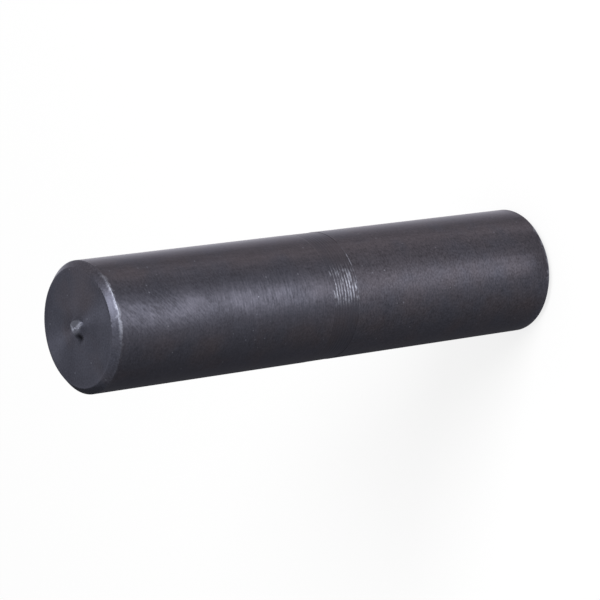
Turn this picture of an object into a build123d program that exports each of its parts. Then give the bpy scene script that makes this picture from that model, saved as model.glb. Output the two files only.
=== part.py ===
"""Shear pin, turned from one piece of round steel bar.

A plain headless dowel: two equal lands that sit in the two halves of a joint, 45 degree
lead-in chamfers on both ends, and a shallow turned relief at mid-length that marks the plane
where the pin gives way. The relief keeps the feed marks of its round-nosed tool. It runs out
gently into the upper land and stops square against the lower one. The lower end is faced off
clean, and the upper end keeps the small pip that parting-off leaves at the centre.

The pin stands on its faced end. The origin is the centre of that face, and +Z runs up the
axis towards the pip. All sizes are in millimetres.
"""

import os
from math import sqrt

from build123d import *

# Blank
pin_diameter = 14.0  # both lands
pin_length = 60.0  # from end face to end face, without the pip
end_chamfer = 0.7  # leg of the 45 degree chamfer at each end

# Turned relief at mid-length
relief_width = 3.35  # from the square shoulder to the last feed mark
relief_depth = 0.045  # radial depth of the ridges next to the shoulder
runout_depth = 0.01  # radial depth of the ridges at the last feed mark
feed_per_turn = 0.37  # pitch of the feed marks
tool_nose_radius = 0.8  # round nose that leaves each mark hollow
tool_clearance = 0.5  # how far the tool's path starts outside the land

# Parting-off pip
pip_root_diameter = 2.2  # where it stands on the end face
pip_tip_diameter = 1.3  # where the stub tore off
pip_height = 0.62
pip_tip_crown = 0.12  # rise of the rounded tip above the stub
pip_root_fillet = 0.2

# Worked out from the sizes above
land_radius = pin_diameter / 2
mid_length = pin_length / 2
shoulder_z = mid_length - relief_width / 2
runout_z = mid_length + relief_width / 2
feed_marks = max(1, round(relief_width / feed_per_turn))
mark_width = relief_width / feed_marks
mark_hollow = tool_nose_radius - sqrt(tool_nose_radius**2 - (mark_width / 2) ** 2)
pip_tip_radius = pip_tip_diameter / 2
pip_stub_z = pin_length + pip_height - pip_tip_crown
pip_top_z = pin_length + pip_height
crown_radius = (pip_tip_radius**2 + pip_tip_crown**2) / (2 * pip_tip_crown)
crown_middle_z = pip_top_z - crown_radius + sqrt(crown_radius**2 - (pip_tip_radius / 2) ** 2)


def floor_radius(z):
    """Radius of the ridges between feed marks, which rise from the shoulder to the run-out."""
    share = (z - shoulder_z) / relief_width
    depth = relief_depth + share * (runout_depth - relief_depth)
    return land_radius - depth


os.makedirs("parts", exist_ok=True)

with BuildPart() as shear_pin:
    # The bar, cut to length and turned to the land diameter.
    with BuildSketch(Plane.XY):
        Circle(land_radius)
    extrude(amount=pin_length)

    # Lead-in chamfers on both rims.
    rims = shear_pin.edges().filter_by(GeomType.CIRCLE)
    chamfer(rims, length=end_chamfer)

    # The relief: one hollow for each turn of the work, from the shoulder to the run-out.
    with BuildSketch(Plane.XZ):
        with BuildLine() as tool_path:
            Line((land_radius + tool_clearance, shoulder_z), (floor_radius(shoulder_z), shoulder_z))
            for mark in range(feed_marks):
                z_start = shoulder_z + mark * mark_width
                z_end = z_start + mark_width
                z_middle = (z_start + z_end) / 2
                ThreePointArc(
                    (floor_radius(z_start), z_start),
                    (floor_radius(z_middle) - mark_hollow, z_middle),
                    (floor_radius(z_end), z_end),
                )
            Line((floor_radius(runout_z), runout_z), (land_radius + tool_clearance, runout_z))
            Line(
                (land_radius + tool_clearance, runout_z),
                (land_radius + tool_clearance, shoulder_z),
            )
        make_face()
    revolve(axis=Axis.Z, mode=Mode.SUBTRACT)

    # The pip, a short tapered stub with a rounded tip.
    with BuildSketch(Plane.XZ):
        with BuildLine():
            Line((0, pin_length), (pip_root_diameter / 2, pin_length))
            Line((pip_root_diameter / 2, pin_length), (pip_tip_radius, pip_stub_z))
            ThreePointArc(
                (pip_tip_radius, pip_stub_z),
                (pip_tip_radius / 2, crown_middle_z),
                (0, pip_top_z),
            )
            Line((0, pip_top_z), (0, pin_length))
        make_face()
    revolve(axis=Axis.Z)

    # The stub flows into the end face.
    pip_root = (
        shear_pin.edges()
        .filter_by(GeomType.CIRCLE)
        .filter_by(lambda edge: abs(edge.radius - pip_root_diameter / 2) < 1e-4)
    )
    fillet(pip_root, radius=pip_root_fillet)

shear_pin.part.label = "shear_pin"
export_step(shear_pin.part, "parts/shear_pin.step")
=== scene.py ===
"""Shear pin: one piece of turned steel bar under black oxide, standing on its faced end.

The pin is turned by a Geometry Nodes lathe from a half section that is worked out from a few
sizes. The lathe also cuts the feed marks of the relief, raises the burr on its shoulder and
bends the parting-off pip over. Lengths are in metres, the axis is Z, and the origin is the
centre of the faced end.
"""

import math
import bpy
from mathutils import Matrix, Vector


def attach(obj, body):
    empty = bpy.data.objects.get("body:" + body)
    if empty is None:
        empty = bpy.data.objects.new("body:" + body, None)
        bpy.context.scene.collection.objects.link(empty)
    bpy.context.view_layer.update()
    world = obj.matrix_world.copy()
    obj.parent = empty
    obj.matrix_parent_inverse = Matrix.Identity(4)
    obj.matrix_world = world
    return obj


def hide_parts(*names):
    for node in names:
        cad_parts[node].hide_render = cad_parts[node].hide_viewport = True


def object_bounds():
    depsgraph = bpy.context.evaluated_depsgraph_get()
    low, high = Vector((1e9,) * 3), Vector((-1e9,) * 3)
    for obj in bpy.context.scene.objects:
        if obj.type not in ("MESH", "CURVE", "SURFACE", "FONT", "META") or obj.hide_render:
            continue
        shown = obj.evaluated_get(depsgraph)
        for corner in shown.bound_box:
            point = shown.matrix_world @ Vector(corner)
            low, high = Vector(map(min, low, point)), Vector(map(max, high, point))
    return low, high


bl_info = {
    "name": "Shear Pin",
    "version": (1, 0, 0),
    "blender": (4, 5, 0),
    "location": "3D View > Sidebar > Shear Pin",
    "description": "Turns a black-oxide steel shear pin and sets it on a plain stage",
    "category": "Object",
}

import bpy
from mathutils import Matrix, Vector

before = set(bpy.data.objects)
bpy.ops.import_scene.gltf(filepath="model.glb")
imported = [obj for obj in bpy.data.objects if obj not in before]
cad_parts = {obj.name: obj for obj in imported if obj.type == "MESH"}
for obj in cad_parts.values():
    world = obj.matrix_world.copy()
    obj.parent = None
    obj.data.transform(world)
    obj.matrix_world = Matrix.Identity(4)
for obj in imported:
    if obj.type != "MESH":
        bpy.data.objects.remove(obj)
CAD_LOW, CAD_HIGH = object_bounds()

NODE = "shear_pin"
MM = 0.001
PIN_RADIUS = (CAD_HIGH.x - CAD_LOW.x) / 2
PIN_HEIGHT = CAD_HIGH.z - CAD_LOW.z
RIM = 0.3 * MM  # width of an end face's outer rim, inside which its sheen is full


# Settings -------------------------------------------------------------------


def length(name, description, millimetres):
    """A length setting, written in millimetres."""
    return bpy.props.FloatProperty(
        name=name,
        description=description,
        default=millimetres * MM,
        unit="LENGTH",
        subtype="DISTANCE",
        precision=5,
    )


def colour(name, description, hex_value):
    """A colour setting, written as sRGB hex."""
    return bpy.props.FloatVectorProperty(
        name=name,
        description=description,
        default=linear(hex_value),
        size=4,
        min=0.0,
        max=1.0,
        subtype="COLOR",
    )


def angle(name, description, degrees):
    """An angle setting, written in degrees."""
    return bpy.props.FloatProperty(
        name=name,
        description=description,
        default=math.radians(degrees),
        unit="ROTATION",
        subtype="ANGLE",
    )


def share(name, description, default):
    """A setting from 0 to 1."""
    return bpy.props.FloatProperty(
        name=name,
        description=description,
        default=default,
        min=0.0,
        max=1.0,
        subtype="FACTOR",
    )


def direction(name, description, default):
    """A direction setting, as seen from the pin."""
    return bpy.props.FloatVectorProperty(
        name=name, description=description, default=default, subtype="DIRECTION"
    )


def offset(name, description, millimetres):
    """A place on the end face or a move along it, written in millimetres."""
    return bpy.props.FloatVectorProperty(
        name=name,
        description=description,
        default=[way * MM for way in millimetres],
        unit="LENGTH",
        subtype="XYZ",
        precision=5,
    )


def strength(name, description, default):
    """How brightly something glows."""
    return bpy.props.FloatProperty(
        name=name,
        description=description + ", where 1 is white",
        default=default,
        min=0.0,
    )


def linear(hex_value):
    """Linear RGBA of an sRGB colour written as RRGGBB."""
    shares = [int(hex_value[i : i + 2], 16) / 255 for i in (0, 2, 4)]
    return [s / 12.92 if s <= 0.04045 else ((s + 0.055) / 1.055) ** 2.4 for s in shares] + [1.0]


WHITE = linear("FFFFFF")


class PinSizes(bpy.types.PropertyGroup):
    """Sizes of the pin, apart from its diameter, which the frame gives."""

    pin_length: length("Pin length", "Length of the pin without its pip", 60.0)
    chamfer: length("End chamfer", "Leg of the 45 degree chamfer at each end", 0.7)
    edge_round: length("Edge rounding", "Radius that tumbling left on the chamfer's edges", 0.06)
    inner_round: length("Inner rounding", "The same between chamfer and end face", 0.2)
    relief_width: length("Relief width", "Width of the turned relief at mid-length", 3.35)
    relief_depth: length("Relief depth", "Depth of the relief beside its square shoulder", 0.021)
    runout_depth: length("Run-out depth", "Depth of the relief at its last feed mark", 0.012)
    feed: length("Feed per turn", "Pitch of the feed marks in the relief", 0.372)
    mark_depth: length("Mark depth", "Depth of a feed mark between its two ridges", 0.008)
    burr: length("Shoulder burr", "Height of the burr that the tool threw up on the shoulder", 0.015)
    pip_root: length("Pip root", "Diameter of the parting-off pip on the end face", 2.2)
    pip_tip: length("Pip tip", "Diameter of the pip's torn top", 1.25)
    pip_height: length("Pip height", "How far the pip stands out of the end face", 0.36)
    pip_lean: offset("Pip lean", "How the falling bar bent the pip's top over", (0.22, -0.2, 0.0))
    pip_slope: bpy.props.FloatVectorProperty(
        name="Pip slope",
        description="How steeply the pip's torn top rises along X and Y",
        default=(-0.2, 0.25, 0.0),
        subtype="XYZ",
    )
    pip_hollow: offset("Pip hollow", "Where the tear dug a hollow", (-0.95, -0.3, 0.0))
    hollow_size: length("Hollow size", "Radius of that hollow", 0.72)
    segments: bpy.props.IntProperty(
        name="Segments",
        description="Facets round the pin",
        default=288,
        min=24,
        max=720,
    )
    seed: bpy.props.IntProperty(
        name="Seed",
        description="Picks another set of uneven feed marks",
        default=3,
    )


class PinFinish(bpy.types.PropertyGroup):
    """Colours and gloss of the black oxide."""

    oxide: colour("Oxide", "Black oxide on the lands", "3F3F47")
    brown: colour("Brown", "Oxide under dried oil", "454044")
    faced: colour("Faced", "Black oxide on the faced ends", "3E3F48")
    bare: colour("Bare steel", "Steel that shows where the oxide has worn off", "A6A9B6")
    tint: colour("Edge tint", "What tints the oxide's shine at a grazing angle", "EFEEF8")
    roughness: share("Roughness", "Roughness of the oxide on the lands and the ends", 0.42)
    groove_roughness: share("Groove roughness", "Roughness of the oxide on the groove", 0.35)
    # The rubbed side also places painted highlights: pale patches and bare crests lie where the
    # front light falls.
    rubbed_and_highlight_side: direction("Rubbed and highlight side", "The side other pins rubbed most, where painted highlights lie", (0.12, -0.993, 0.0))
    # The knocked side also places the edges' painted glint where the soft box lights them.
    knocked_and_glint_side: direction("Knocked and glint side", "Where edges were knocked most, and where their painted glint lies", (0.26, -0.966, 0.0))
    drained_side: direction("Drained side", "The side the oil drained to", (0.85, -0.53, 0.0))


class StageSettings(bpy.types.PropertyGroup):
    """The board that the pin stands on, its lights and cards, and where the camera stands."""

    board: colour("Board", "Colour of the board that the pin stands on", "F4F4F4")
    glow: share("Board glow", "How much of the board's white is its own light", 0.8)
    fill: strength("Fill", "Strength of the surroundings as a light", 0.6)
    box_size: length("Soft box", "Diameter of the soft box", 260.0)
    box_power: bpy.props.FloatProperty(
        name="Soft box power",
        description="Power of the soft box",
        default=2.3,
        min=0.0,
        unit="POWER",
    )
    box_direction: direction("Soft box direction", "Where the soft box hangs", (0.42, -0.5, 0.76))
    fan_far: length("Fan far", "Radius at which the fans and the strip end", 300.0)
    front_near: length("Front fan near", "Radius at which the fan in front begins", 10.5)
    front_from: angle("Front fan from", "Where it begins, round from -Y towards +X", -10.0)
    front_to: angle("Front fan to", "Where it ends", 26.5)
    front_strength: strength("Front fan strength", "Strength of the fan in front", 3.2)
    side_near: length("Side fan near", "Radius at which the fan beside the pin begins", 7.5)
    side_from: angle("Side fan from", "Where it begins", 76.0)
    side_to: angle("Side fan to", "Where it ends", 93.0)
    side_strength: strength("Side fan strength", "Strength of the fan beside the pin", 1.6)
    gap_from: angle("Grey strip from", "Where the grey strip beside the fan begins", 103.0)
    gap_to: angle("Grey strip to", "Where it ends", 122.0)
    gap_strength: strength("Grey strip strength", "Brightness of the grey strip", 0.6)
    back_near: length("Back fan near", "Radius at which the fan behind the pin begins", 7.5)
    back_from: angle("Back fan from", "Where it begins", 144.0)
    back_to: angle("Back fan to", "Where it ends", 185.0)
    back_strength: strength("Back fan strength", "Strength of the fan behind the pin", 1.55)
    card_height: length("Card height", "Height of the grey card", 61.3)
    card_radius: length("Card radius", "Radius of the card bent round the shaded side", 9.0)
    card_from: angle("Card from", "Where the card begins, white", -178.0)
    card_dark: angle("Card darkest", "Where the card is darkest", -130.0)
    card_to: angle("Card to", "Where the card ends, white", -20.0)
    card_grey: share("Card grey", "How bright the card is where it is darkest", 0.1)
    elevation: angle("Camera elevation", "How far above the horizon the camera stands", 37.2)
    roll: angle("Camera roll", "Turn of the camera about its own line of sight", -97.7)
    lens: bpy.props.FloatProperty(
        name="Focal length",
        description="Focal length of the camera",
        default=178.4,
        unit="CAMERA",
        precision=1,
    )
    distance: length("Camera distance", "From the camera to the pin's axis", 323.75)
    sideways: length("Camera sideways", "How far towards +X of the pin's axis it looks", -0.2)


# Half section ---------------------------------------------------------------


def shoulder_height(sizes):
    return (sizes.pin_length - sizes.relief_width) / 2


def runout_height(sizes):
    return (sizes.pin_length + sizes.relief_width) / 2


def rounded_corner(before, corner, after, radius, steps=6):
    """Points of the arc that rounds a corner, from the first stretch to the second."""
    if radius == 0:
        return [corner]
    back = (before - corner).normalized()
    on = (after - corner).normalized()
    half = back.angle(on) / 2
    centre = corner + (back + on).normalized() * (radius / math.sin(half))
    start = corner + back * (radius / math.tan(half)) - centre
    end = corner + on * (radius / math.tan(half)) - centre
    turn = start.angle(end)
    arc = []
    for i in range(steps + 1):
        share = i / steps
        both = start * math.sin(turn * (1 - share)) + end * math.sin(turn * share)
        arc.append(centre + both / math.sin(turn))
    return arc


def half_section(sizes):
    """The pin's half section from the foot's centre to the pip's top, as (radius, height, wear).

    The burr on the shoulder is what reaches the pin's full radius, so the lands lie below it.
    """
    radius = PIN_RADIUS - sizes.burr
    top = sizes.pin_length
    shoulder = shoulder_height(sizes)
    runout = runout_height(sizes)
    inner = radius - sizes.chamfer
    edge = sizes.edge_round
    soft = sizes.inner_round
    crisp = 0.012 * MM
    root = sizes.pip_root / 2
    tip = sizes.pip_tip / 2
    pip_top = top + sizes.pip_height
    band = 0.45 * MM  # the strip of land beside a chamfer that wear reaches
    plain = 1.5 * MM  # ring spacing where nothing changes
    # Each station is a corner with its rounding and the ring spacing of the stretch that follows.
    stations = [
        (0, 0, 0, 0.8 * MM),
        (inner - RIM, 0, 0, 0.06 * MM),
        (inner, 0, soft, 0.07 * MM),
        (radius, sizes.chamfer, edge, 0.05 * MM),
        (radius, sizes.chamfer + band, 0, plain),
        (radius, shoulder - 0.2 * MM, 0, 0.02 * MM),
        (radius, shoulder, crisp, 0.02 * MM),
        (radius - sizes.relief_depth, shoulder, crisp, sizes.feed / 12),
        (radius - sizes.runout_depth, runout, 0.01 * MM, 0.05 * MM),
        (radius, runout + 0.15 * MM, 0.02 * MM, plain),
        (radius, top - sizes.chamfer - band, 0, 0.05 * MM),
        (radius, top - sizes.chamfer, edge, 0.07 * MM),
        (inner, top, soft, 0.06 * MM),
        (inner - RIM, top, 0, 0.5 * MM),
        (root + 0.1 * MM, top, 0.3 * MM, 0.07 * MM),
        (tip, pip_top, 0.2 * MM, 0.07 * MM),
        (0, pip_top, 0, 0.07 * MM),
    ]
    # Each worn edge has how worn it is and how far from the edge that reaches.
    worn = [
        (Vector((inner, 0)), 0.45, 0.2 * MM),
        (Vector((radius, sizes.chamfer)), 1.0, 0.5 * MM),
        (Vector((radius, shoulder)), 0.85, 0.13 * MM),
        (Vector((radius, top - sizes.chamfer)), 1.0, 0.5 * MM),
        (Vector((inner, top)), 0.45, 0.2 * MM),
    ]
    places = [Vector(station[:2]) for station in stations]
    points = [places[0]]
    for i, station in enumerate(stations[1:-1], start=1):
        arc = rounded_corner(places[i - 1], places[i], places[i + 1], station[2])
        points += stretch(points[-1], arc[0], stations[i - 1][3])
        points += arc[1:]
    points += stretch(points[-1], places[-1], stations[-2][3])
    return [(place.x, place.y, wear_at(place, worn)) for place in points]


def stretch(start, end, spacing):
    """Points along a straight stretch, with one close to each end to hold the edge's shading."""
    span = (end - start).length
    count = max(1, math.ceil(span / spacing))
    shares = [i / count for i in range(1, count + 1)]
    hold = 0.04 * MM / span
    if hold < 0.3 / count:
        shares = [hold] + shares[:-1] + [1 - hold, 1.0]
    return [start.lerp(end, share) for share in shares]


def wear_at(place, worn):
    """How worn a place is: full at a worn edge, and none beyond that edge's reach."""
    return max(
        strength * max(0.0, 1 - (place - edge).length / reach) for edge, strength, reach in worn
    )


# Nodes ----------------------------------------------------------------------


def add_node(tree, kind, inputs=(), **settings):
    """Adds a node with its settings and its inputs, which go by name or in order.

    An input is a value, a socket to link from, or a node whose first live output is linked. In
    order, Map Range takes its value, what that runs from and to, and what it becomes there.
    """
    node = tree.nodes.new(kind)
    for name, value in settings.items():
        setattr(node, name, value)
    for key, value in inputs.items() if isinstance(inputs, dict) else enumerate(inputs):
        if isinstance(value, bpy.types.Node):
            value = next(socket for socket in value.outputs if socket.enabled)
        if isinstance(value, bpy.types.NodeSocket):
            tree.links.new(value, node.inputs[key])
        else:
            node.inputs[key].default_value = value
    return node


def sum_of(tree, terms, start):
    """A number or socket plus terms, each of them a socket and what it is multiplied by."""
    total = start
    for term, factor in terms:
        total = add_node(tree, "ShaderNodeMath", (term, factor, total), operation="MULTIPLY_ADD")
    return total


def product_of(tree, total, *factors):
    """A socket times the factors, each of them a socket or a number, in their order."""
    for factor in factors:
        total = add_node(tree, "ShaderNodeMath", (total, factor), operation="MULTIPLY")
    return total


def largest_of(tree, total, *others):
    """The largest of these sockets and numbers."""
    for other in others:
        total = add_node(tree, "ShaderNodeMath", (total, other), operation="MAXIMUM")
    return total


def from_axis(tree, place):
    """The part of a place that lies square to the pin's axis."""
    return add_node(tree, "ShaderNodeVectorMath", (place, (1.0, 1.0, 0.0)), operation="MULTIPLY")


# Lathe ----------------------------------------------------------------------


def lathe_tree(inputs):
    """Geometry Nodes: turns a half section round Z and works the turned surface.

    Each named input comes with its kind and its value.
    """
    tree = bpy.data.node_groups.new("Lathe", "GeometryNodeTree")
    kinds = {"Half Section": "Geometry"} | {name: kind for name, (kind, _) in inputs.items()}
    for name, kind in kinds.items():
        tree.interface.new_socket(name, in_out="INPUT", socket_type="NodeSocket" + kind)
    tree.interface.new_socket("Pin", in_out="OUTPUT", socket_type="NodeSocketGeometry")
    given = add_node(tree, "NodeGroupInput").outputs

    geometry = turn_section(tree, given)
    geometry = cut_marks(tree, given, geometry)
    geometry = bend_pip(tree, given, geometry)
    weld = 0.0001 * MM  # closes the seam and both poles
    closed = add_node(tree, "GeometryNodeMergeByDistance", {"Geometry": geometry, "Distance": weld})
    smooth = add_node(tree, "GeometryNodeSetShadeSmooth", {"Geometry": closed})
    realized = add_node(tree, "GeometryNodeRealizeInstances", {"Geometry": smooth})
    add_node(tree, "NodeGroupOutput", (set_finishes(tree, given, realized),))
    return tree


def turn_section(tree, given):
    """A grid of rings and segments, wrapped round Z along the half section."""
    section = given["Half Section"]
    counts = add_node(
        tree, "GeometryNodeAttributeDomainSize", {"Geometry": section}, component="MESH"
    ).outputs
    across = add_node(tree, "ShaderNodeMath", (given["Segments"], 1.0), operation="ADD")
    grid = add_node(
        tree, "GeometryNodeMeshGrid", {"Vertices X": counts["Point Count"], "Vertices Y": across}
    )
    # Wrapped this way round, the grid's own faces would point inwards.
    geometry = add_node(tree, "GeometryNodeFlipFaces", {"Mesh": grid.outputs["Mesh"]})

    index = add_node(tree, "GeometryNodeInputIndex")
    rows = add_node(tree, "ShaderNodeMath", (index, across), operation="DIVIDE")
    ring = add_node(tree, "ShaderNodeMath", (rows,), operation="FLOOR")
    along = add_node(tree, "ShaderNodeMath", (index, across), operation="MODULO")
    turn = add_node(tree, "ShaderNodeMath", (along, given["Segments"]), operation="DIVIDE")
    held = {"place": add_node(tree, "GeometryNodeInputPosition")}
    for name in ("wear", "share"):
        held[name] = add_node(tree, "GeometryNodeInputNamedAttribute", {"Name": name})
    for name, value in held.items():
        at_ring = {"Geometry": section, "Value": value, "Index": ring}
        kind = "FLOAT_VECTOR" if name == "place" else "FLOAT"
        held[name] = add_node(tree, "GeometryNodeSampleIndex", at_ring, data_type=kind)

    worn = {"Geometry": geometry, "Name": "wear", "Value": held["wear"]}
    geometry = add_node(tree, "GeometryNodeStoreNamedAttribute", worn)
    flat = add_node(tree, "ShaderNodeCombineXYZ", {"X": turn, "Y": held["share"]})
    flat = add_node(tree, "GeometryNodeFieldOnDomain", {"Value": flat}, data_type="FLOAT_VECTOR")
    geometry = add_node(
        tree,
        "GeometryNodeStoreNamedAttribute",
        {"Geometry": geometry, "Name": "OFBake", "Value": flat},
        data_type="FLOAT2",
        domain="CORNER",
    )
    angle = product_of(tree, turn, math.tau)
    wrapped = add_node(
        tree,
        "ShaderNodeVectorRotate",
        {"Vector": held["place"], "Angle": angle},
        rotation_type="Z_AXIS",
    )
    return add_node(tree, "GeometryNodeSetPosition", {"Geometry": geometry, "Position": wrapped})


def cut_marks(tree, given, geometry):
    """The helix of feed marks in the relief, and the burr on its shoulder."""
    shoulder = given["Shoulder Height"]
    runout = given["Run-out Height"]
    position = add_node(tree, "GeometryNodeInputPosition")
    x, y, height = add_node(tree, "ShaderNodeSeparateXYZ", (position,)).outputs
    turn = add_node(tree, "ShaderNodeMath", (y, x), operation="ARCTAN2")
    share = add_node(tree, "ShaderNodeMath", (turn, math.tau), operation="DIVIDE")
    above = sum_of(tree, ((shoulder, -1.0),), height)
    marks = add_node(tree, "ShaderNodeMath", (above, given["Feed"]), operation="DIVIDE")
    phase = sum_of(tree, ((share, -1.0),), marks)
    within = add_node(tree, "ShaderNodeMath", (phase,), operation="FRACT")
    centred = sum_of(tree, ((within, 2.0),), -1.0)
    ridge = product_of(tree, centred, centred)
    hollow = sum_of(tree, ((ridge, -1.0),), 1.0)

    # Turns cut unevenly, from 0.25 to 1.3 of the mark depth.
    uneven = {"W": sum_of(tree, ((phase, 1.0),), given["Seed"]), "Scale": 0.9, "Detail": 1.0}
    uneven = add_node(tree, "ShaderNodeTexNoise", uneven, noise_dimensions="1D")
    depth = add_node(tree, "ShaderNodeMapRange", (uneven, 0.3, 0.7, 0.25, 1.3))
    # The marks are full 0.02 mm past the shoulder, and fade over the last half millimetre.
    full = sum_of(tree, ((shoulder, 1.0),), 0.02 * MM)
    begins = add_node(tree, "ShaderNodeMapRange", (height, shoulder, full))
    gone = sum_of(tree, ((runout, 1.0),), 0.1 * MM)
    fades = sum_of(tree, ((runout, 1.0),), -0.4 * MM)
    ends = add_node(tree, "ShaderNodeMapRange", (height, gone, fades))
    masked = product_of(tree, begins, ends)
    cut = product_of(tree, hollow, depth, masked, given["Mark Depth"])

    # The burr rises over the last quarter of a millimetre, and is ragged at some 2.4 mm.
    rising = (above, -0.25 * MM, -0.03 * MM)
    rising = add_node(tree, "ShaderNodeMapRange", rising, interpolation_type="SMOOTHSTEP")
    lip = add_node(tree, "ShaderNodeMath", (above, 0.002 * MM), operation="LESS_THAN")
    ragged = {"Vector": position, "Scale": 420.0, "Detail": 3.0}
    ragged = add_node(tree, "ShaderNodeTexNoise", ragged)
    ragged = add_node(tree, "ShaderNodeMapRange", (ragged, 0.4, 0.66))
    burr = product_of(tree, rising, lip, ragged, given["Burr"])

    outward = from_axis(tree, position)
    outward = add_node(tree, "ShaderNodeVectorMath", (outward,), operation="NORMALIZE")
    rise = sum_of(tree, ((cut, -1.0),), burr)
    move = add_node(tree, "ShaderNodeVectorMath", {0: outward, "Scale": rise}, operation="SCALE")
    geometry = add_node(tree, "GeometryNodeSetPosition", {"Geometry": geometry, "Offset": move})
    crest = {"Geometry": geometry, "Name": "crest", "Value": product_of(tree, ridge, masked)}
    return add_node(tree, "GeometryNodeStoreNamedAttribute", crest)


def bend_pip(tree, given, geometry):
    """Bends the pip over, slopes and roughens its three-cornered top and digs a hollow beside it."""
    length = given["Pin Length"]
    position = add_node(tree, "GeometryNodeInputPosition")
    x, y, height = add_node(tree, "ShaderNodeSeparateXYZ", (position,)).outputs
    height = sum_of(tree, ((length, -1.0),), height)
    share = add_node(
        tree, "ShaderNodeMath", (height, given["Pip Height"]), operation="DIVIDE", use_clamp=True
    )
    slope = (position, given["Pip Slope"])
    slope = add_node(tree, "ShaderNodeVectorMath", slope, operation="DOT_PRODUCT")
    sloped = add_node(tree, "ShaderNodeCombineXYZ", {"Z": slope})
    lean = add_node(tree, "ShaderNodeVectorMath", (given["Pip Lean"], sloped), operation="ADD")
    lean = add_node(tree, "ShaderNodeVectorMath", {0: lean, "Scale": share}, operation="SCALE")

    # Torn at some 0.6 mm, by up to 0.1 mm each way.
    torn = {"Vector": position, "Scale": 1600.0, "Detail": 3.0}
    torn = (add_node(tree, "ShaderNodeTexNoise", torn).outputs["Color"], (0.5, 0.5, 0.5))
    torn = add_node(tree, "ShaderNodeVectorMath", torn, operation="SUBTRACT")
    reach = product_of(tree, share, 0.2 * MM)
    torn = add_node(tree, "ShaderNodeVectorMath", {0: torn, "Scale": reach}, operation="SCALE")

    # The top is drawn in by 15 % on three sides and out by as much between them.
    turn = add_node(tree, "ShaderNodeMath", (y, x), operation="ARCTAN2")
    wave = add_node(tree, "ShaderNodeMath", (product_of(tree, turn, 3.0),), operation="COSINE")
    drawn = {0: from_axis(tree, position), "Scale": product_of(tree, wave, share, -0.15)}
    drawn = add_node(tree, "ShaderNodeVectorMath", drawn, operation="SCALE")
    move = add_node(tree, "ShaderNodeVectorMath", (lean, torn), operation="ADD")
    move = add_node(tree, "ShaderNodeVectorMath", (move, drawn), operation="ADD")
    bent = {"Geometry": geometry, "Name": "torn", "Value": share}
    geometry = add_node(tree, "GeometryNodeStoreNamedAttribute", bent)
    geometry = add_node(tree, "GeometryNodeSetPosition", {"Geometry": geometry, "Offset": move})

    position = add_node(tree, "GeometryNodeInputPosition")
    height = add_node(tree, "ShaderNodeSeparateXYZ", (position,)).outputs["Z"]
    away = (from_axis(tree, position), given["Pip Hollow"])
    away = add_node(tree, "ShaderNodeVectorMath", away, operation="DISTANCE")
    hollow = (away, given["Hollow Size"], 0.0)
    hollow = add_node(tree, "ShaderNodeMapRange", hollow, interpolation_type="SMOOTHSTEP")
    middle = product_of(tree, length, 0.5)
    at_top = add_node(tree, "ShaderNodeMath", (height, middle), operation="GREATER_THAN")
    hollow = product_of(tree, hollow, at_top)
    dug = product_of(tree, hollow, -0.25 * MM)
    down = add_node(tree, "ShaderNodeCombineXYZ", {"Z": dug})
    geometry = add_node(tree, "GeometryNodeSetPosition", {"Geometry": geometry, "Offset": down})
    dug = {"Geometry": geometry, "Name": "hollow", "Value": hollow}
    return add_node(tree, "GeometryNodeStoreNamedAttribute", dug)


def set_finishes(tree, given, geometry):
    """Lands, relief and ends each get their own finish, by where a face lies."""
    position = add_node(tree, "GeometryNodeInputPosition")
    height = add_node(tree, "ShaderNodeSeparateXYZ", (position,)).outputs["Z"]
    middle = product_of(tree, given["Pin Length"], 0.5)
    off = sum_of(tree, ((middle, -1.0),), height)
    off = add_node(tree, "ShaderNodeMath", (off,), operation="ABSOLUTE")
    relief = sum_of(tree, ((middle, -1.0),), given["Run-out Height"])
    in_relief = add_node(tree, "ShaderNodeMath", (off, relief), operation="LESS_THAN")
    lands = sum_of(tree, ((given["Chamfer"], -1.0),), middle)
    at_end = add_node(tree, "ShaderNodeMath", (off, lands), operation="GREATER_THAN")
    for where, name in ((True, "Land"), (in_relief, "Relief"), (at_end, "End")):
        finished = {"Geometry": geometry, "Selection": where, "Material": given[name + " Material"]}
        geometry = add_node(tree, "GeometryNodeSetMaterial", finished)
    return geometry


# Finishes -------------------------------------------------------------------


def new_material(name):
    """An empty material, and its node tree."""
    material = bpy.data.materials.new(name)
    material.use_nodes = True
    material.node_tree.nodes.clear()
    return material, material.node_tree


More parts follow.
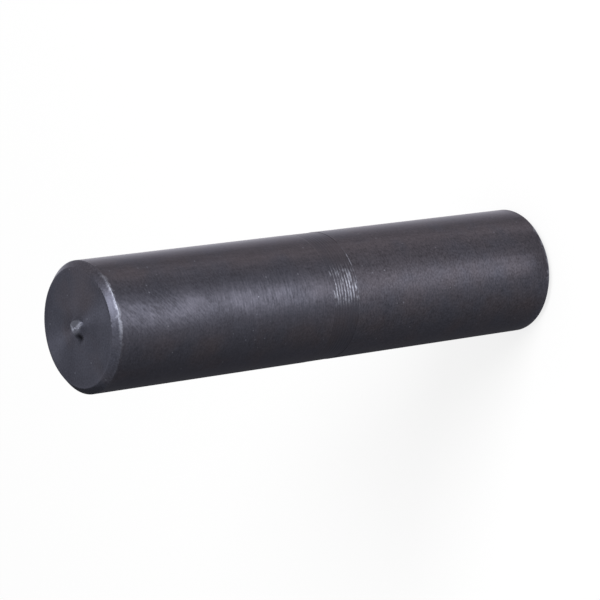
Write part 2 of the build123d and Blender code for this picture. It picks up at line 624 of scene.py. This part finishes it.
def ground_oxide(finish, sizes):
    """Black oxide on centreless-ground bar, under a film of oil.

    The oxide is a thin, nearly black skin with a soft gloss, mottled a little at a millimetre.
    It keeps the fine lines of grinding that run round the bar, and it took coarser on the lower
    land. Oil dries on it in faint brown clouds, and other pins in the bin rub it thin in pale
    patches with slanting scratches, mostly on the upper land, and knock bare specks into it. The
    pale patches lie only on the side that faces the front light, so their paleness is partly
    painted highlight.
    """
    material, tree = new_material("Black oxide on ground bar")
    place = add_node(tree, "ShaderNodeTexCoord").outputs["Object"]
    low = below_shoulder(tree, place, sizes)
    # Grinding lines are some 0.02 mm wide. They are drawn coarser, or they wouldn't show.
    lines = streaks(tree, place, (4.0, 4.0, 0.14))
    grain = streaks(tree, place, (0.26, 0.26, 0.2))
    mottled = streaks(tree, place, (1.3, 1.3, 1.1))
    grain = sum_of(tree, ((grain, 1.0),), -0.5)
    grain = product_of(tree, grain, sum_of(tree, ((low, 0.45),), 0.8))
    rubbed = rubbed_and_highlight_patches(tree, place, finish, sizes)
    rubbed = product_of(tree, rubbed, sum_of(tree, ((low, -0.95),), 1.0))
    # Rubbed patches lighten the oxide on the side facing the front light: partly wear, partly
    # painted highlight.
    tones = ((lines, 0.3), (grain, 1.1), (mottled, 0.25), (rubbed, 0.72), (low, 0.07))
    wet = add_node(tree, "ShaderNodeMapRange", (drained(tree, place, finish), 0.6))
    show_steel(
        tree,
        finish,
        skin=oxide_skin(tree, place, finish, low),
        tone=sum_of(tree, tones, 0.69),
        bare=(worn_and_glinting_edges(tree, place, finish), specks(tree, place)),
        dents=(sum_of(tree, ((lines, 0.15), (grain, 0.06)), 0.0), 0.6),
        gloss=sum_of(tree, ((rubbed, -0.1), (low, 0.03), (wet, -0.06)), finish.roughness),
    )
    return material


def turned_oxide(finish, sizes):
    """Black oxide on a freshly turned groove.

    The tool leaves smooth facets, so the groove is a little glossier than the ground bar. The
    crests between its feed marks have lost their oxide where other pins nicked them, but they
    are bared only on the side that faces the front light, so their row of short bright streaks
    is partly painted glint.
    """
    material, tree = new_material("Black oxide on turned groove")
    place = add_node(tree, "ShaderNodeTexCoord").outputs["Object"]
    # Tearing marks inside a feed mark are some 0.01 mm wide, and are drawn coarser too.
    lines = streaks(tree, place, (6.0, 6.0, 0.09))
    grain = streaks(tree, place, (0.17, 0.17, 0.13))
    patches = streaks(tree, place, (0.8, 0.8, 0.3))
    nicks = streaks(tree, place, (0.3, 0.3, 0.12))
    crest = add_node(tree, "ShaderNodeAttribute", attribute_name="crest").outputs["Fac"]
    touched = sum_of(tree, ((crest, 0.5), (patches, 1.5), (nicks, 1.1)), -1.33)
    touched = add_node(tree, "ShaderNodeMapRange", (touched, 0.05, 0.75, 0.0, 0.62))
    # Crests are bared only where the front light's highlight falls: painted glint on real nicks.
    side = on_side(tree, place, finish.rubbed_and_highlight_side, 0.93, 0.998, 0.02)
    show_steel(
        tree,
        finish,
        skin=oxide_skin(tree, place, finish, below_shoulder(tree, place, sizes)),
        tone=sum_of(tree, ((lines, 0.4), (grain, 0.7)), 0.37),
        bare=(product_of(tree, touched, side), worn_and_glinting_edges(tree, place, finish)),
        dents=(lines, 0.8),
        gloss=sum_of(tree, ((lines, 0.12),), finish.groove_roughness),
    )
    return material


def faced_oxide(finish, sizes):
    """Black oxide on a faced and chamfered end.

    The facing cut leaves rings too fine to see one by one. They dull the end to a dark
    blue-grey, faintly brown where oil dried, and draw a light out into two opposite fans. The
    chamfer's edges are rubbed bright, most on the side the soft box lights, so that brightness is
    partly painted glint. The torn pip is pale, and painted shade darkens the hollow beside it.
    """
    material, tree = new_material("Black oxide on faced end")
    place = add_node(tree, "ShaderNodeTexCoord").outputs["Object"]
    radius = (from_axis(tree, place),)
    radius = add_node(tree, "ShaderNodeVectorMath", radius, operation="LENGTH")
    rings = {"W": radius, "Scale": 1 / (0.2 * MM), "Detail": 1.0}
    rings = add_node(tree, "ShaderNodeTexNoise", rings, noise_dimensions="1D")
    grain = streaks(tree, place, (0.2, 0.2, 0.2))
    clouds = streaks(tree, place, (3.4, 3.4, 3.4))
    hollow = add_node(tree, "ShaderNodeAttribute", attribute_name="hollow").outputs["Fac"]
    # Painted shade: the oxide is up to 90 % darker in the hollow beside the pip.
    hollow_shade = sum_of(tree, ((hollow, -0.9),), 1.0)
    tone = sum_of(tree, ((rings, 0.15), (grain, 1.2), (clouds, 0.9)), -0.07)
    oily = sum_of(tree, ((dried_oil(tree, place, finish, 0.0), 0.6),), 0.0)
    skin = {"Factor": oily, "A": finish.faced, "B": finish.brown}
    inner = PIN_RADIUS - sizes.chamfer
    flat = add_node(tree, "ShaderNodeMapRange", (radius, inner, inner - RIM, 0.0, 0.8))
    torn = add_node(tree, "ShaderNodeAttribute", attribute_name="torn").outputs["Fac"]
    torn = add_node(tree, "ShaderNodeMapRange", (torn, 0.6, 1.0, 0.0, 0.5))
    on_pip = product_of(tree, torn, streaks(tree, place, (0.25, 0.25, 0.25)), hollow_shade)
    glosses = ((grain, 0.1), (on_pip, 0.5), (flat, 0.05))
    show_steel(
        tree,
        finish,
        skin=add_node(tree, "ShaderNodeMix", skin, data_type="RGBA"),
        tone=product_of(tree, tone, hollow_shade),
        bare=(worn_and_glinting_edges(tree, place, finish), specks(tree, place), on_pip),
        dents=(grain, 0.6),
        gloss=sum_of(tree, glosses, finish.roughness - 0.05),
        rings={
            "Anisotropic": flat,
            "Anisotropic Rotation": 0.25,
            "Tangent": round_the_axis(tree, place),
        },
    )
    return material


def show_steel(tree, finish, skin, tone, bare, dents, gloss, rings=None):
    """Ends a material in oxide skin of this tone, bare where any of these has worn it off.

    Dents are a height, in steps of 0.002 mm, and how much of it shows. Rings, where there are
    any, are how they stretch what the steel mirrors.
    """
    height, depth = dents
    skin = add_node(tree, "ShaderNodeVectorMath", {0: skin, "Scale": tone}, operation="SCALE")
    colour = {"Factor": largest_of(tree, *bare), "A": skin, "B": finish.bare}
    bumps = {"Strength": depth, "Distance": 0.002 * MM, "Height": height}
    surface = {
        "Base Color": add_node(tree, "ShaderNodeMix", colour, data_type="RGBA"),
        "Metallic": 1.0,
        "Roughness": gloss,
        "Normal": add_node(tree, "ShaderNodeBump", bumps),
        "Specular Tint": finish.tint,
        **(rings or {}),
    }
    shader = add_node(tree, "ShaderNodeBsdfPrincipled", surface)
    add_node(tree, "ShaderNodeOutputMaterial", {"Surface": shader})


def round_the_axis(tree, place):
    """The direction in which the pin turned under the tool, as shading needs it."""
    axis = (0.0, 0.0, 1.0)
    return add_node(
        tree,
        "ShaderNodeVectorTransform",
        (add_node(tree, "ShaderNodeVectorMath", (axis, place), operation="CROSS_PRODUCT"),),
        vector_type="VECTOR",
        convert_from="OBJECT",
        convert_to="WORLD",
    )


def streaks(tree, place, sizes, turn=0.0):
    """Noise whose spots have these sizes in millimetres along X, Y and Z, turned about Y."""
    placed = add_node(
        tree,
        "ShaderNodeMapping",
        {"Vector": place, "Rotation": (0.0, turn, 0.0), "Scale": [size * MM for size in sizes]},
        vector_type="TEXTURE",
    )
    return add_node(tree, "ShaderNodeTexNoise", {"Vector": placed, "Scale": 1.0, "Detail": 3.0})


def on_side(tree, place, side, start, full, least):
    """1 on this side of the pin, falling to the least value away from it.

    It starts and is full at these cosines of the angle from that side.
    """
    outward = from_axis(tree, place)
    outward = add_node(tree, "ShaderNodeVectorMath", (outward,), operation="NORMALIZE")
    facing = add_node(tree, "ShaderNodeVectorMath", (outward, side), operation="DOT_PRODUCT")
    facing = (facing, start, full, least)
    return add_node(tree, "ShaderNodeMapRange", facing, interpolation_type="SMOOTHSTEP")


def below_shoulder(tree, place, sizes):
    """1 on the lower land, fading to 0 across the groove and 5 mm of the upper land."""
    height = add_node(tree, "ShaderNodeSeparateXYZ", (place,)).outputs["Z"]
    begins = runout_height(sizes) + 5.0 * MM
    return add_node(tree, "ShaderNodeMapRange", (height, begins, shoulder_height(sizes)))


def rubbed_and_highlight_patches(tree, place, finish, sizes):
    """Patches of 2 to 5 mm where the oxide is rubbed thin, with slanting scratches near the top.

    They lie only on the side that faces the front light, where they lighten the highlight: partly
    real wear, partly painted highlight.
    """
    broad = streaks(tree, place, (3.0, 3.0, 4.5))
    fine = streaks(tree, place, (1.2, 1.2, 0.2))
    slanting = streaks(tree, place, (0.8, 2.0, 0.16), math.radians(-42.0))
    height = add_node(tree, "ShaderNodeSeparateXYZ", (place,)).outputs["Z"]
    top = sizes.pin_length
    high = add_node(tree, "ShaderNodeMapRange", (height, top * 0.74, top * 0.86))
    scratched = {"Factor": high, "A": fine, "B": slanting}
    scratched = add_node(tree, "ShaderNodeMix", scratched, data_type="FLOAT")
    both = sum_of(tree, ((broad, 0.9), (scratched, 0.85)), -0.345)
    patches = add_node(tree, "ShaderNodeMapRange", (both, 0.4, 0.85))
    # Only on the side that faces the front light: painted highlight.
    return product_of(tree, patches, on_side(tree, place, finish.rubbed_and_highlight_side, 0.92, 0.992, 0.1))


def oxide_skin(tree, place, finish, low):
    """Black oxide, brown where the oil dried on it and darker in the streaks it drained in."""
    streaked = (streaks(tree, place, (0.5, 0.5, 4.0)), 0.35, 0.65)
    streaked = add_node(tree, "ShaderNodeMapRange", streaked)
    wet = largest_of(tree, drained(tree, place, finish), 0.0)
    dark = sum_of(tree, ((product_of(tree, streaked, wet), -0.14), (wet, 0.02)), 1.0)
    skin = {"Factor": dried_oil(tree, place, finish, low), "A": finish.oxide, "B": finish.brown}
    skin = add_node(tree, "ShaderNodeMix", skin, data_type="RGBA")
    return add_node(tree, "ShaderNodeVectorMath", {0: skin, "Scale": dark}, operation="SCALE")


def drained(tree, place, finish):
    """1 on the line that the oil drained to, 0 halfway round and -1 opposite."""
    side = Vector(finish.drained_side) / PIN_RADIUS
    return add_node(tree, "ShaderNodeVectorMath", (place, side), operation="DOT_PRODUCT")


def dried_oil(tree, place, finish, low):
    """Where the oil dried brown: clouds of 3.5 mm, thickest where it drained to.

    Rubbing wiped most of it off the upper land again, and half of it off the lower land.
    """
    clouds = streaks(tree, place, (3.5, 3.5, 3.5))
    wet = drained(tree, place, finish)
    both = sum_of(tree, ((clouds, 2.4), (wet, 0.6), (low, 0.12)), -0.95)
    brown = add_node(tree, "ShaderNodeMapRange", (both, 0.05, 0.95))
    wiped = on_side(tree, place, finish.rubbed_and_highlight_side, 0.78, 0.99, 0.0)
    less = sum_of(tree, ((low, 0.4),), -0.9)
    return product_of(tree, brown, sum_of(tree, ((wiped, less),), 1.0))


def specks(tree, place):
    """Bare specks of 0.1 to 0.2 mm, about one in twelve square millimetres."""
    cells = {"Vector": place, "Scale": 1 / (0.9 * MM)}
    cells = add_node(tree, "ShaderNodeTexVoronoi", cells).outputs
    near = add_node(tree, "ShaderNodeMapRange", (cells["Distance"], 0.13, 0.05, 0.0, 0.2))
    tint = add_node(tree, "ShaderNodeSeparateXYZ", (cells["Color"],)).outputs["X"]
    rare = add_node(tree, "ShaderNodeMath", (tint, 0.75), operation="GREATER_THAN")
    return product_of(tree, near, rare)


def worn_and_glinting_edges(tree, place, finish):
    """How bare the steel is beside the edges, ragged at a scale of 0.4 mm.

    It is fullest on the side the soft box lights, so the bright edges are partly painted glint.
    """
    wear = add_node(tree, "ShaderNodeAttribute", attribute_name="wear").outputs["Fac"]
    ragged = streaks(tree, place, (0.4, 0.4, 0.4))
    both = sum_of(tree, ((ragged, 1.8), (wear, 1.0)), -0.9)
    worn = add_node(tree, "ShaderNodeMapRange", (both, 0.5, 1.2, 0.0, 0.38))
    # Edges are bared most on the side the soft box lights: painted glint.
    return product_of(tree, worn, on_side(tree, place, finish.knocked_and_glint_side, 0.78, 0.97, 0.12))


# Operators ------------------------------------------------------------------


def add_object(context, name, data):
    """A new object with this data, in the scene."""
    added = bpy.data.objects.new(name, data)
    context.scene.collection.objects.link(added)
    return added


class SHEARPIN_OT_turn_pin(bpy.types.Operator):
    """Turn the pin from its half section, mark its relief and put it on its CAD body"""

    bl_idname = "shear_pin.turn_pin"
    bl_label = "Turn the Pin"

    def execute(self, context):
        sizes = context.scene.pin_sizes
        finish = context.scene.pin_finish
        section = section_object(context, sizes)
        inputs = {
            "Segments": ("Int", sizes.segments),
            "Seed": ("Int", sizes.seed),
            "Shoulder Height": ("Float", shoulder_height(sizes)),
            "Run-out Height": ("Float", runout_height(sizes)),
            "Feed": ("Float", sizes.feed),
            "Mark Depth": ("Float", sizes.mark_depth),
            "Burr": ("Float", sizes.burr),
            "Pin Length": ("Float", sizes.pin_length),
            "Chamfer": ("Float", sizes.chamfer),
            "Pip Height": ("Float", sizes.pip_height),
            "Pip Lean": ("Vector", sizes.pip_lean),
            "Pip Slope": ("Vector", sizes.pip_slope),
            "Pip Hollow": ("Vector", sizes.pip_hollow),
            "Hollow Size": ("Float", sizes.hollow_size),
            "Land Material": ("Material", ground_oxide(finish, sizes)),
            "Relief Material": ("Material", turned_oxide(finish, sizes)),
            "End Material": ("Material", faced_oxide(finish, sizes)),
        }
        modifier = section.modifiers.new("Lathe", "NODES")
        modifier.node_group = lathe_tree(inputs)
        for item in modifier.node_group.interface.items_tree:
            if item.name in inputs:
                modifier[item.identifier] = inputs[item.name][1]
        pin = plain_mesh(context, section, "turned_pin")
        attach(pin, "root")
        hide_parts(NODE)
        return {"FINISHED"}


def section_object(context, sizes):
    """The half section as a line of points, each with its wear and its share of the whole line."""
    points = half_section(sizes)
    mesh = bpy.data.meshes.new("half_section")
    edges = [(i, i + 1) for i in range(len(points) - 1)]
    mesh.from_pydata([(radius, 0.0, height) for radius, height, _ in points], edges, [])
    along = [0.0]
    for i, j in edges:
        along.append(along[-1] + math.dist(points[i][:2], points[j][:2]))
    values = {"wear": [wear for _, _, wear in points], "share": [way / along[-1] for way in along]}
    for name, numbers in values.items():
        mesh.attributes.new(name, "FLOAT", "POINT").data.foreach_set("value", numbers)
    return add_object(context, "half_section", mesh)


def plain_mesh(context, source, name):
    """The evaluated source as a plain mesh object. The source is removed."""
    evaluated = source.evaluated_get(context.evaluated_depsgraph_get())
    mesh = bpy.data.meshes.new_from_object(evaluated)
    mesh.name = name
    bpy.data.objects.remove(source)
    return add_object(context, name, mesh)


class SHEARPIN_OT_set_stage(bpy.types.Operator):
    """Lay the pale floor, hang the lamps and place the camera"""

    bl_idname = "shear_pin.set_stage"
    bl_label = "Set the Stage"

    def execute(self, context):
        stage = context.scene.pin_stage
        lay_floor(context, stage)
        light_surroundings(context, stage)
        hang_soft_box(context, stage)
        stand_sheets(context, stage)
        place_camera(context, stage)
        context.scene.view_settings.view_transform = "Standard"
        return {"FINISHED"}


def lay_floor(context, stage):
    """A wide pale board. Its shadows are real, and the rest of its white is a lightbox's own."""
    mesh = bpy.data.meshes.new("floor")
    half = 2.0
    corners = [(-half, -half, 0), (half, -half, 0), (half, half, 0), (-half, half, 0)]
    mesh.from_pydata(corners, [], [(0, 1, 2, 3)])
    mesh.materials.append(board_material(stage))
    add_object(context, "floor", mesh)


def board_material(stage):
    """Opal acrylic board, lit from below: what looks at it or mirrors it sees it nearly white."""
    material, tree = new_material("Opal acrylic board")
    lit = add_node(tree, "ShaderNodeBsdfDiffuse", {"Color": stage.board})
    glow = add_node(tree, "ShaderNodeEmission", {"Color": WHITE, "Strength": 1.0})
    share = product_of(tree, seen_directly(tree), stage.glow)
    board = add_node(tree, "ShaderNodeMixShader", (share, lit, glow))
    add_node(tree, "ShaderNodeOutputMaterial", {"Surface": board})
    return material


def seen_directly(tree):
    """1 for a ray from the camera, off a glossy surface or through a clear one, otherwise 0."""
    path = add_node(tree, "ShaderNodeLightPath").outputs
    kinds = ("Is Camera Ray", "Is Glossy Ray", "Is Transmission Ray")
    return largest_of(tree, *(path[kind] for kind in kinds))


def light_surroundings(context, stage):
    """White to look at, and a fill light of its own strength on everything."""
    world = bpy.data.worlds.new("Surroundings")
    world.use_nodes = True
    tree = world.node_tree
    tree.nodes.clear()
    strength = (seen_directly(tree), 0.0, 1.0, stage.fill, 1.0)
    strength = add_node(tree, "ShaderNodeMapRange", strength)
    sky = add_node(tree, "ShaderNodeBackground", {"Color": WHITE, "Strength": strength})
    add_node(tree, "ShaderNodeOutputWorld", {"Surface": sky})
    context.scene.world = world


def hang_soft_box(context, stage):
    """A round soft box half a metre away. It lights the chamfer and the end's two fans."""
    box = bpy.data.lights.new("soft box", "AREA")
    box.shape = "DISK"
    box.size = stage.box_size
    box.energy = stage.box_power
    lamp = add_object(context, "soft box", box)
    away = Vector(stage.box_direction).normalized()
    place = Matrix.Translation(Vector((0, 0, CAD_HIGH.z * 0.7)) + away * 0.5)
    lamp.matrix_world = place @ away.to_track_quat("Z", "Y").to_matrix().to_4x4()


def stand_sheets(context, stage):
    """What the land mirrors: three low fans of light, a grey strip and a graded card.

    Only the pin's gloss sees them. They cast no shadow and light nothing else. The grey strip
    and the card's dark middle glow dimmer than the board, so they paint dark reflections on the pin.
    """
    low = 0.3 * MM
    sheets = []
    for name, near, start, end, power in (
        ("front fan", stage.front_near, stage.front_from, stage.front_to, stage.front_strength),
        ("side fan", stage.side_near, stage.side_from, stage.side_to, stage.side_strength),
        ("grey strip", stage.side_near, stage.gap_from, stage.gap_to, stage.gap_strength),
        ("back fan", stage.back_near, stage.back_from, stage.back_to, stage.back_strength),
    ):
        # The pin mirrors each stripe of a fan at half that stripe's bearing, so it begins there.
        fan = bent_sheet(context, name, (near, low), (stage.fan_far, low), start, end, 0.5)
        fan.data.materials.append(glowing_material(power))
        sheets.append(fan)
    at_pin = (PIN_RADIUS * 1.02, low)
    foot = (stage.card_radius, low)
    top = (stage.card_radius, stage.card_height)
    # The card glows dim grey: mirrored on the pin's shaded side, it paints the shade there.
    for name, inner, outer in (("card", foot, top), ("card foot", at_pin, foot)):
        card = bent_sheet(context, name, inner, outer, stage.card_from, stage.card_to, 1.0)
        card.data.materials.append(shade_reflection_material(stage))
        sheets.append(card)
    for sheet in sheets:
        sheet.visible_camera = False
        sheet.visible_diffuse = False
        sheet.visible_shadow = False


def glowing_material(strength):
    """White diffuser cloth with a lamp behind it, evenly bright and without texture."""
    material, tree = new_material("Lit diffuser")
    glow = add_node(tree, "ShaderNodeEmission", {"Color": WHITE, "Strength": strength})
    add_node(tree, "ShaderNodeOutputMaterial", {"Surface": glow})
    return material


def shade_reflection_material(stage):
    """Glowing card, dim grey in its middle and fading to white towards both ends.

    Only the pin's gloss sees it, so it paints a dark reflection, the shade on the pin's shaded side.
    """
    material, tree = new_material("Glowing grey card")
    along = add_node(tree, "ShaderNodeAttribute", attribute_name="share").outputs["Fac"]
    darkest = (stage.card_dark - stage.card_from) / (stage.card_to - stage.card_from)
    faded = add_node(tree, "ShaderNodeMapRange", (along, darkest))
    steeply = add_node(tree, "ShaderNodeMath", (faded, 4.0), operation="POWER")
    first = add_node(tree, "ShaderNodeMapRange", (along, darkest, 0.0))
    first = add_node(tree, "ShaderNodeMath", (first, 2.0), operation="POWER")
    terms = ((faded, 0.3), (steeply, 0.7 - stage.card_grey), (first, 1 - stage.card_grey))
    grey = sum_of(tree, terms, stage.card_grey)
    glow = add_node(tree, "ShaderNodeEmission", {"Color": WHITE, "Strength": grey})
    add_node(tree, "ShaderNodeOutputMaterial", {"Surface": glow})
    return material


def bent_sheet(context, name, inner, outer, start, end, inner_share, steps=24):
    """A sheet between two arcs round the pin's axis, each given by its radius and height.

    The inner arc's bearings are this share of the outer arc's. The attribute "share" runs from 0
    where the sheet begins to 1 where it ends.
    """
    points = []
    shares = []
    for i in range(steps + 1):
        turn = start + (end - start) * i / steps
        shares += [i / steps, i / steps]
        for (radius, height), bearing in ((inner, turn * inner_share), (outer, turn)):
            points.append((radius * math.sin(bearing), -radius * math.cos(bearing), height))
    faces = [(2 * i, 2 * i + 1, 2 * i + 3, 2 * i + 2) for i in range(steps)]
    mesh = bpy.data.meshes.new(name)
    mesh.from_pydata(points, [], faces)
    mesh.attributes.new("share", "FLOAT", "POINT").data.foreach_set("value", shares)
    return add_object(context, name, mesh)


def place_camera(context, stage):
    """Stands the camera in front of the pin, above it and rolled, aimed just over its middle."""
    data = bpy.data.cameras.new("camera")
    data.lens = stage.lens
    data.clip_start = 0.01
    data.clip_end = 10.0
    camera = add_object(context, "camera", data)
    back = Vector((0.0, -math.cos(stage.elevation), math.sin(stage.elevation)))
    aim = Vector((stage.sideways, 0.0, PIN_HEIGHT * 0.5115))
    upright = back.to_track_quat("Z", "Y").to_matrix()
    turned = upright @ Matrix.Rotation(stage.roll, 3, "Z")
    camera.matrix_world = Matrix.Translation(aim + back * stage.distance) @ turned.to_4x4()
    context.scene.camera = camera


class SHEARPIN_PT_sidebar(bpy.types.Panel):
    """The pin's operators and settings"""

    bl_idname = "SHEARPIN_PT_sidebar"
    bl_label = "Shear Pin"
    bl_space_type = "VIEW_3D"
    bl_region_type = "UI"
    bl_category = "Shear Pin"

    def draw(self, context):
        for group, operator in (
            (context.scene.pin_sizes, SHEARPIN_OT_turn_pin),
            (context.scene.pin_finish, None),
            (context.scene.pin_stage, SHEARPIN_OT_set_stage),
        ):
            box = self.layout.box()
            for name in group.__annotations__:
                box.prop(group, name)
            if operator:
                box.operator(operator.bl_idname)


CLASSES = (
    PinSizes,
    PinFinish,
    StageSettings,
    SHEARPIN_OT_turn_pin,
    SHEARPIN_OT_set_stage,
    SHEARPIN_PT_sidebar,
)
GROUPS = {"pin_sizes": PinSizes, "pin_finish": PinFinish, "pin_stage": StageSettings}


def register():
    for item in CLASSES:
        bpy.utils.register_class(item)
    for name, group in GROUPS.items():
        setattr(bpy.types.Scene, name, bpy.props.PointerProperty(type=group))


def unregister():
    for name in GROUPS:
        delattr(bpy.types.Scene, name)
    for item in reversed(CLASSES):
        bpy.utils.unregister_class(item)


def main():
    register()
    bpy.ops.shear_pin.turn_pin()
    bpy.ops.shear_pin.set_stage()


if __name__ == "__main__":
    main()
